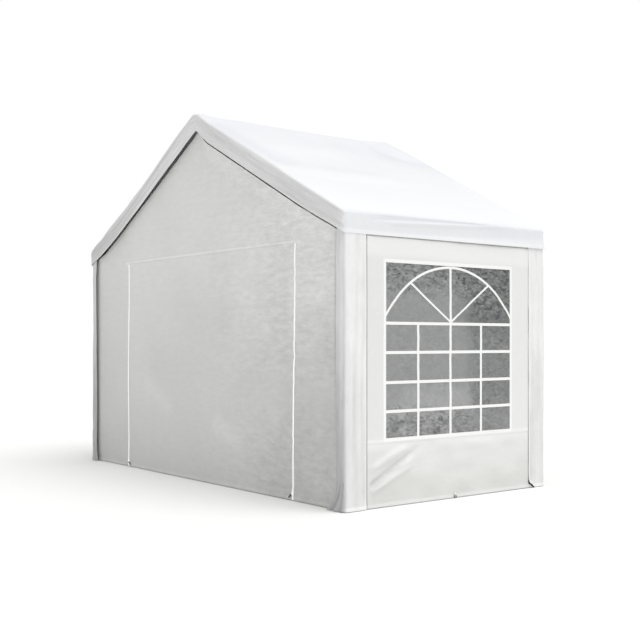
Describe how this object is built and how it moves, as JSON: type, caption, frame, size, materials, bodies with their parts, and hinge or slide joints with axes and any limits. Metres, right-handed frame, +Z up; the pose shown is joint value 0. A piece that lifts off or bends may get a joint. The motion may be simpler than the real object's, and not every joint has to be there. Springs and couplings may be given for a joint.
{
  "type": "marquee tent",
  "caption": "Gabled marquee tent of white woven sheet on a round tube frame, with zipped gable doors, film windows in its sides, leg covers and hanging roof edges.",
  "frame": {"origin": "on the ground, in the middle of the tent's plan", "axes": "+X across the gables, +Y along the ridge towards the rear gable, +Z up; the front gable faces -Y"},
  "size_m": [3.9, 1.98, 2.9599],
  "materials": {
    "steel": "galvanised tube",
    "roof_cloth": "coated woven polyethylene, satin",
    "wall_cloth": "translucent coated woven polyethylene",
    "zip": "moulded teeth on woven tape",
    "film": "clear film with ripples"
  },
  "bodies": {
    "root": {"leg_front_left": "steel", "leg_front_right": "steel", "leg_rear_left": "steel", "leg_rear_right": "steel", "foot_plate_front_left": "steel", "foot_plate_front_right": "steel", "foot_plate_rear_left": "steel", "foot_plate_rear_right": "steel", "corner_fitting_front_left": "steel", "corner_fitting_front_right": "steel", "corner_fitting_rear_left": "steel", "corner_fitting_rear_right": "steel", "ridge_fitting_front": "steel", "ridge_fitting_rear": "steel", "rafter_front_left": "steel", "rafter_front_right": "steel", "rafter_rear_left": "steel", "rafter_rear_right": "steel", "eave_tube_left": "steel", "eave_tube_right": "steel", "ridge_tube": "steel", "roof_slope_left": "roof_cloth", "roof_slope_right": "roof_cloth", "valance_left": "roof_cloth", "valance_right": "roof_cloth", "gable_trim_front_left": "roof_cloth", "gable_trim_front_right": "roof_cloth", "gable_trim_rear_left": "roof_cloth", "gable_trim_rear_right": "roof_cloth", "leg_cover_front_left": "roof_cloth", "leg_cover_front_right": "roof_cloth", "leg_cover_rear_left": "roof_cloth", "leg_cover_rear_right": "roof_cloth", "gable_wall_front": "wall_cloth", "gable_wall_rear": "wall_cloth", "door_front": "wall_cloth", "door_rear": "wall_cloth", "zip_front_left": "zip", "zip_front_right": "zip", "zip_rear_left": "zip", "zip_rear_right": "zip", "side_wall_left": "wall_cloth", "side_wall_right": "wall_cloth", "window_film_left": "film", "window_film_right": "film"}
  },
  "joints": []
}
